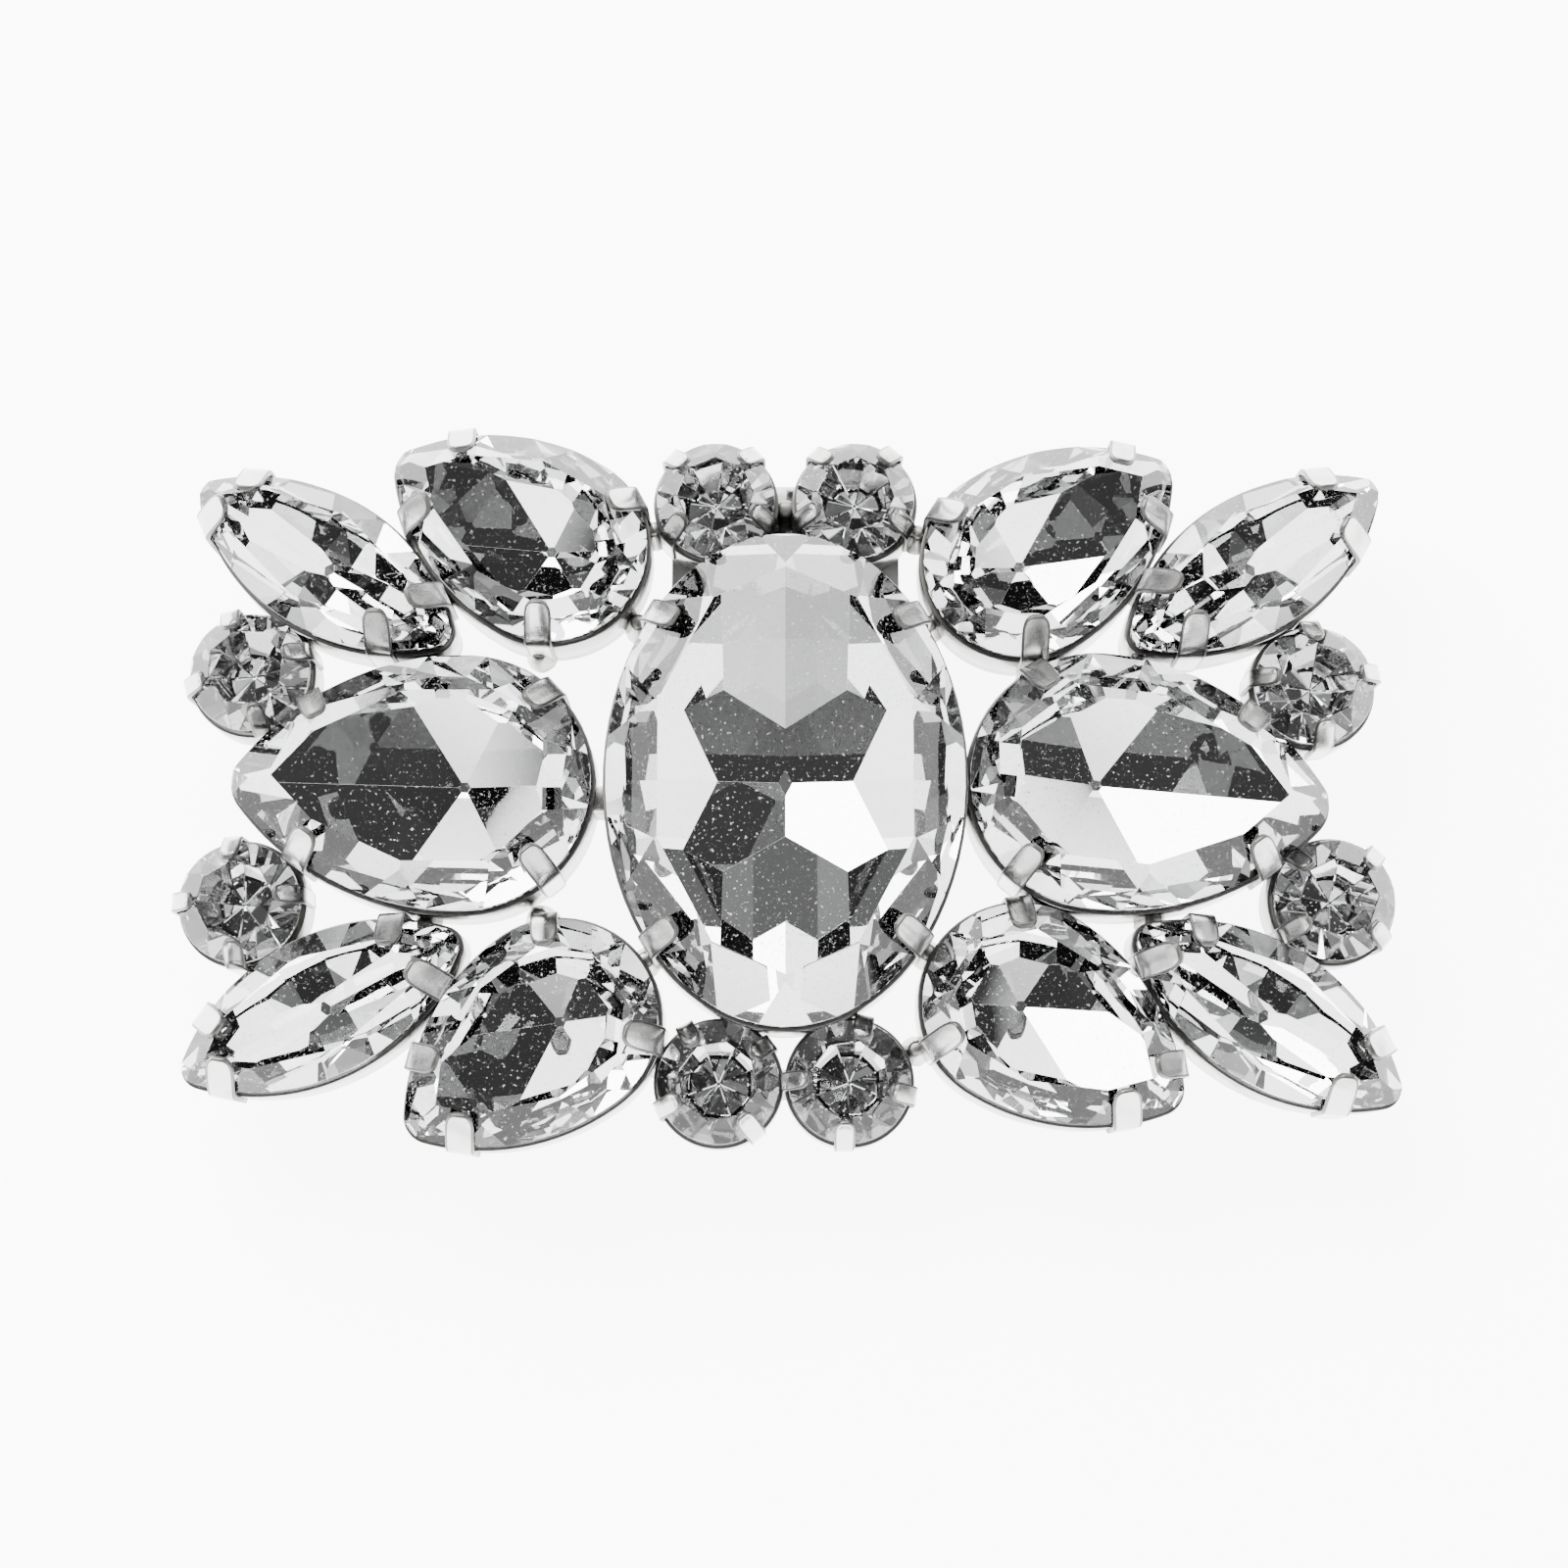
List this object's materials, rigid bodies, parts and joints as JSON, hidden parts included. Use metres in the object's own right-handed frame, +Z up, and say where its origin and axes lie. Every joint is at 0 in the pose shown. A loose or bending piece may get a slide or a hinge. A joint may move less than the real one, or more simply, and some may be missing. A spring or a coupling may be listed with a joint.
{
  "type": "shoe buckle",
  "caption": "Ornamental shoe buckle of faceted clear stones in soldered claw settings, with a sheet-metal shoe clip at the back.",
  "frame": {"origin": "middle of the whole buckle on the underside of the clip, on which it lies", "axes": "+Z up out of the stones' faces, +X along the long side to the right, +Y to the top with the clip's bend"},
  "size_m": [0.0617, 0.0371, 0.0105],
  "materials": {
    "stone": "clear cut glass with silver foil on the underside",
    "setting": "silver plated, slightly tarnished",
    "clip": "plated steel sheet, slightly dull"
  },
  "bodies": {
    "root": {"oval_stone": "stone", "left_large_pear": "stone", "right_large_pear": "stone", "top_left_pear": "stone", "top_right_pear": "stone", "bottom_left_pear": "stone", "bottom_right_pear": "stone", "top_left_navette": "stone", "top_right_navette": "stone", "bottom_left_navette": "stone", "bottom_right_navette": "stone", "top_left_round": "stone", "top_right_round": "stone", "bottom_left_round": "stone", "bottom_right_round": "stone", "left_upper_round": "stone", "left_lower_round": "stone", "right_upper_round": "stone", "right_lower_round": "stone", "setting_frame": "setting", "shoe_clip": "clip"}
  },
  "joints": []
}
